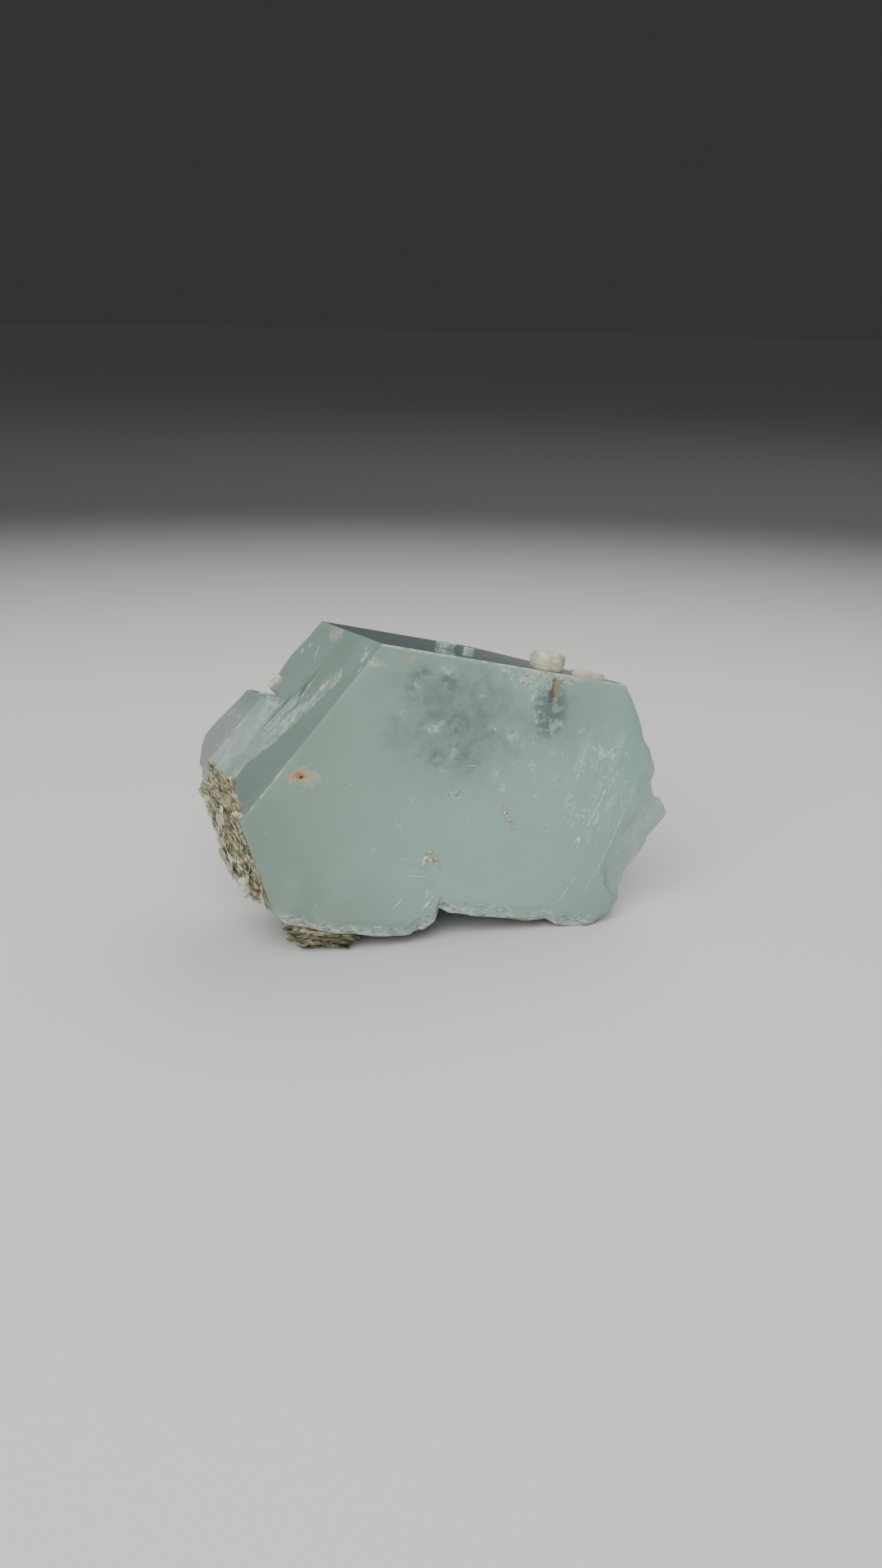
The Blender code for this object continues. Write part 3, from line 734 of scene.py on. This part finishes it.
def lay_slivers(name, marks, chance, to_place):
    """Lays a broken row of slivers along each mark, and joins them all."""
    made = []
    flat = Vector((0, 1, 0))
    for start, end, width in marks:
        start, end = Vector(start), Vector(end)
        reach = end - start
        at = 0.0
        while at < reach.length - 0.1:
            part = min(reach.length - at, chance.uniform(0.5, 2.0))
            middle = start + reach.normalized() * (at + part / 2)
            middle += Vector((chance.gauss(0, 0.04), -stands_out, chance.gauss(0, 0.04)))
            heading = reach.normalized() + Vector((chance.gauss(0, 0.05), 0, chance.gauss(0, 0.05)))
            turn = Matrix((flat.cross(heading).normalized(), flat, heading.normalized()))
            broad = width * chance.uniform(0.6, 1.3)
            size = (broad, min(broad, deepest), part * chance.uniform(0.9, 1.25), 1)
            leaf = another(sliver)
            leaf.matrix_world = (
                to_place
                @ Matrix.Translation(middle)
                @ turn.transposed().to_4x4()
                @ Matrix.Diagonal(size)
            )
            made.append(leaf)
            at += part * chance.uniform(1.0, 1.5)
    alone(*reversed(made))
    bpy.ops.object.join()
    piece = bpy.context.object
    piece.name = name
    bpy.ops.object.transform_apply(location=True, rotation=True, scale=True)
    return piece


for name, marks, seed, to_place, finish, slot in (
    ("silver_hairs", hairs, 11, on_the_crystal, silver, "aquamarine"),
    ("wall_hairs", wall_hairs, 13, on_the_wall, silver, "aquamarine"),
    ("tan_inclusions", tan_marks, 12, on_the_crystal, tan, "albite"),
):
    piece = lay_slivers(name, marks, random.Random(seed), to_place)
    piece.data.materials.append(finish)
    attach(piece, "root")
bpy.data.objects.remove(sliver)

# The mica crusts
# Muscovite, in hundreds of thin silvery green-gold flakes grown flat against the lower left
# wall, and a smaller patch of it under the left half that the crystal partly stands on.
left_wall = lying(toward(210), -0.05).normalized()
left_edge = lying(toward(300)).normalized()
under_wall = lying(Vector((0, -0.98)), -0.20).normalized()
under_edge = lying(toward(0)).normalized()
# In millimetres. A flake's sizes are for one a millimetre wide, and its tilt is in radians.
sunk, sunk_more_at_the_top = 0.45, 0.8
flake_thickness, flake_chamfer, flake_tilt = 0.08, 0.015, 0.15

mica, tree, surface, place = new_finish("muscovite")
u, w, v = put("ShaderNodeSeparateXYZ", {0: place}).outputs
flake_tone = put("ShaderNodeAttribute", attribute_name="tone").outputs["Fac"]
sheet = put("ShaderNodeAttribute", attribute_name="sheet").outputs["Fac"]
sheets = put(
    "ShaderNodeCombineXYZ",
    {0: calc("MULTIPLY", sheet, 4.5), 1: calc("MULTIPLY", v, 0.5), 2: calc("MULTIPLY", w, 0.5)},
).outputs[0]
leaves = put(
    "ShaderNodeTexNoise", {"Vector": sheets, "Scale": 1.0, "Detail": 3, "Distortion": 0.6}
).outputs["Fac"]
# Each flake keeps its own tone, the brightest partly painted highlights; the darker body between
# the flakes is painted shade.
colour = tint(rise(flake_tone, 0.0, 0.45), (0.105, 0.092, 0.050), (0.36, 0.335, 0.215))
colour = wash(colour, (0.74, 0.72, 0.58), rise(flake_tone, 0.5, 1.0))
mossy = both(rise(speckle(place, 2.5), 0.46, 0.62), rise(v, -2.0, 9.0))
colour = wash(colour, (0.36, 0.38, 0.21), mossy, 0.5)
# Dark lines between the sheets are painted shade in the gaps; the pale lines are partly painted
# highlights.
colour = wash(colour, (0.055, 0.048, 0.026), rise(leaves, 0.47, 0.38), 0.75)
colour = wash(colour, (0.66, 0.64, 0.50), rise(leaves, 0.58, 0.68), 0.45)
bump = put("ShaderNodeBump", {"Strength": 0.5, "Distance": 0.0001, "Height": leaves})
wire(surface, {"Base Color": colour, "Roughness": 0.34, "Normal": bump.outputs[0]})

alone()
bpy.ops.mesh.primitive_cylinder_add(vertices=6, radius=0.5, depth=flake_thickness)
flake = bpy.context.object
flake.name = "flake"
bpy.ops.object.mode_set(mode="EDIT")
bpy.ops.mesh.select_all(action="SELECT")
bpy.ops.mesh.bevel(offset=flake_chamfer, segments=1, affect="EDGES")
bpy.ops.object.mode_set(mode="OBJECT")


def mark_mica(piece, wall, bright):
    """Gives the mica its tone, and how far each point stands out along the wall, in sheets."""
    tone = piece.data.attributes.new("tone", "FLOAT", "POINT")
    sheet = piece.data.attributes.new("sheet", "FLOAT", "POINT")
    for vert in piece.data.vertices:
        tone.data[vert.index].value = bright(vert.co)
        sheet.data[vert.index].value = (piece.matrix_world @ vert.co).dot(wall) * 1000


def cover_with_flakes(body, wall, edge, count, sizes, chance):
    """Grows flakes on the body, nearly flat to the wall and smaller at its front and top."""
    # The body under and between the flakes gets a darker tone: painted shade.
    mark_mica(body, wall, lambda point: 0.30 + 0.30 * noise.noise(point * 1100))
    faces = sorted(body.data.polygons, key=lambda face: face.area, reverse=True)
    outer = [face for face in faces if face.normal.dot(wall) > -0.1]
    flat = Matrix((edge, wall.cross(edge).normalized(), wall)).transposed().to_4x4()
    made = []
    for _ in range(count):
        face = chance.choice(outer)
        at = grown(face.center)
        room = min(1.0 + 0.6 * max(0.0, at.y), 3.4 - 2.0 * ramp(0.0, 5.0, at.z))
        broad = min(room, chance.uniform(*sizes)) / 1000
        tilts = (chance.gauss(0, flake_tilt), chance.gauss(0, flake_tilt), chance.uniform(0, 6.28))
        size = (broad, broad * chance.uniform(0.45, 1.0), chance.uniform(0.4, 1.0) / 1000, 1)
        sink = chance.uniform(-0.15, 0.25) / 1000
        leaf = another(flake)
        leaf.matrix_world = (
            Matrix.Translation(face.center + wall * sink)
            @ flat
            @ Euler(tilts).to_matrix().to_4x4()
            @ Matrix.Diagonal(size)
        )
        for vert in leaf.data.vertices:
            vert.co.xy *= chance.uniform(0.84, 1.14)
        bright = min(1.0, max(0.0, chance.gauss(0.50, 0.25)))
        mark_mica(leaf, wall, lambda point: bright)
        made.append(leaf)
    alone(*made, body)
    bpy.ops.object.join()


for node, name, wall, edge, count, sizes, seed in (
    ("mica_side_crust", "mica_side", left_wall, left_edge, 900, (0.9, 3.9), 3),
    ("mica_base_crust", "mica_base", under_wall, under_edge, 380, (0.8, 2.8), 4),
):
    crust = copy_of(node, name)
    for vert in crust.data.vertices:
        vert.co -= wall * (sunk + sunk_more_at_the_top * ramp(1.0, 6.0, grown(vert.co).z)) / 1000
    finish_with(crust, "REMESH", mode="VOXEL", voxel_size=0.00022)
    roughen(crust, name + " lumps", "CLOUDS", 0.0014, 0.0010, noise_depth=3)
    cover_with_flakes(crust, wall, edge, count, sizes, random.Random(seed))
    keep_in_box(crust)
    crust.data.materials.append(mica)
    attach(crust, "root")
    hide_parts(node)
bpy.data.objects.remove(flake)

# The albite
# Cream, chalky feldspar grown onto the stone: a blocky knob, a ledge and two flecks on the top,
# a grain in the notch, a white blade in the side mica and thin rosy skins underneath.
cream, tree, surface, place = new_finish("albite")
layers = speckle(place, 0.6, 3, 0.5, stretch=(0.35, 0.6, 1.8))
powder = rise(speckle(place, 0.9, 4, 0.4), 0.35, 0.65)
colour = tint(powder, (0.335, 0.325, 0.24), (0.44, 0.43, 0.335))
colour = wash(colour, (0.28, 0.25, 0.17), rise(layers, 0.57, 0.66), 0.45)
colour = wash(colour, (0.60, 0.59, 0.48), rise(layers, 0.42, 0.34), 0.35)
bump = put("ShaderNodeBump", {"Strength": 0.4, "Distance": 0.00008, "Height": layers})
wire(surface, {
    "Base Color": colour,
    "Roughness": 0.6,
    "Normal": bump.outputs[0],
    "Subsurface Weight": 0.3,
    "Subsurface Radius": (1.0, 0.9, 0.8),
    "Subsurface Scale": 0.0005,
})

finishes = {"albite": cream}
for name, cloud, detail, mixed, dark, pale, roughness in (
    ("icy albite", 0.8, 3, (0.40, 0.62), (0.155, 0.205, 0.195), (0.29, 0.34, 0.32), 0.38),
    ("white albite", 0.5, 3, (0.40, 0.62), (0.33, 0.335, 0.285), (0.53, 0.53, 0.46), 0.45),
    ("rosy albite", 0.7, 4, (0.35, 0.65), (0.22, 0.22, 0.19), (0.38, 0.35, 0.29), 0.60),
):
    finishes[name], tree, surface, place = new_finish(name)
    cloudy = rise(speckle(place, cloud, detail, 0.4), *mixed)
    wire(surface, {"Base Color": tint(cloudy, dark, pale), "Roughness": roughness})

onto_the_top, into_the_wall = lying(Vector((0, -1))), lying(-toward(150))


def middle_of(piece):
    """The mean of the piece's points."""
    return sum((vert.co for vert in piece.data.vertices), Vector()) / len(piece.data.vertices)


def tuck_in(grain):
    """Moves the grain into its notch and draws it out down the wall."""
    down_it = lying(toward(240))
    middle = middle_of(grain)
    for vert in grain.data.vertices:
        vert.co += into_the_wall * 0.0007 + down_it * (vert.co - middle).dot(down_it) * 0.4


def press_on(lump, way, deep, kept):
    """Presses a lump down on its wall, plumps it a little and draws its foot into the stone."""
    middle = middle_of(lump)
    reach = [vert.co.dot(way) for vert in lump.data.vertices]
    foot, halfway = max(reach), (max(reach) + min(reach)) / 2
    for vert, far in zip(lump.data.vertices, reach):
        vert.co = middle + (vert.co - middle) * 1.05
        vert.co += way * ((foot - far) * (1 - kept) + (deep / 1000 if far > halfway else 0))


# Each lump with the way it is pressed, how deep its foot goes, the share of its height that it
# keeps and how deep its pits are.
for node, finish, slot, way, deep, kept, pitted in (
    ("albite_knob", "albite", "albite", onto_the_top, 0.6, 1.0, 0.10),
    ("albite_ledge", "albite", "albite", onto_the_top, 0.5, 0.55, 0.16),
    ("albite_fleck_large", "icy albite", "albite", onto_the_top, 0.5, 0.42, 0.34),
    ("albite_fleck_small", "icy albite", "albite", onto_the_top, 0.5, 0.36, 0.28),
    ("albite_grain", "albite", "albite", into_the_wall, 1.2, 0.8, 0.55),
    ("albite_blade", "white albite", "albite", -left_wall, 0.5, 0.6, 0.30),
    ("albite_notch_skin", "rosy albite", "albite_skin", -onto_the_top, 0.6, 0.6, 0.20),
    ("albite_base_skin", "rosy albite", "albite_skin", -onto_the_top, 0.6, 0.5, 0.20),
):
    lump = copy_of(node, node.replace("albite", "feldspar"))
    if node == "albite_grain":
        tuck_in(lump)
    press_on(lump, way, deep, kept)
    finish_with(lump, "REMESH", mode="VOXEL", voxel_size=0.00010)
    finish_with(lump, "SMOOTH", factor=0.5, iterations=5)
    roughen(lump, node + " pits", "CLOUDS", 0.0009, pitted / 1000, noise_depth=3)
    keep_in_box(lump)
    alone(lump)
    bpy.ops.object.shade_smooth_by_angle(angle=math.radians(60))
    lump.data.materials.append(finishes[finish])
    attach(lump, "root")
    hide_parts(node)
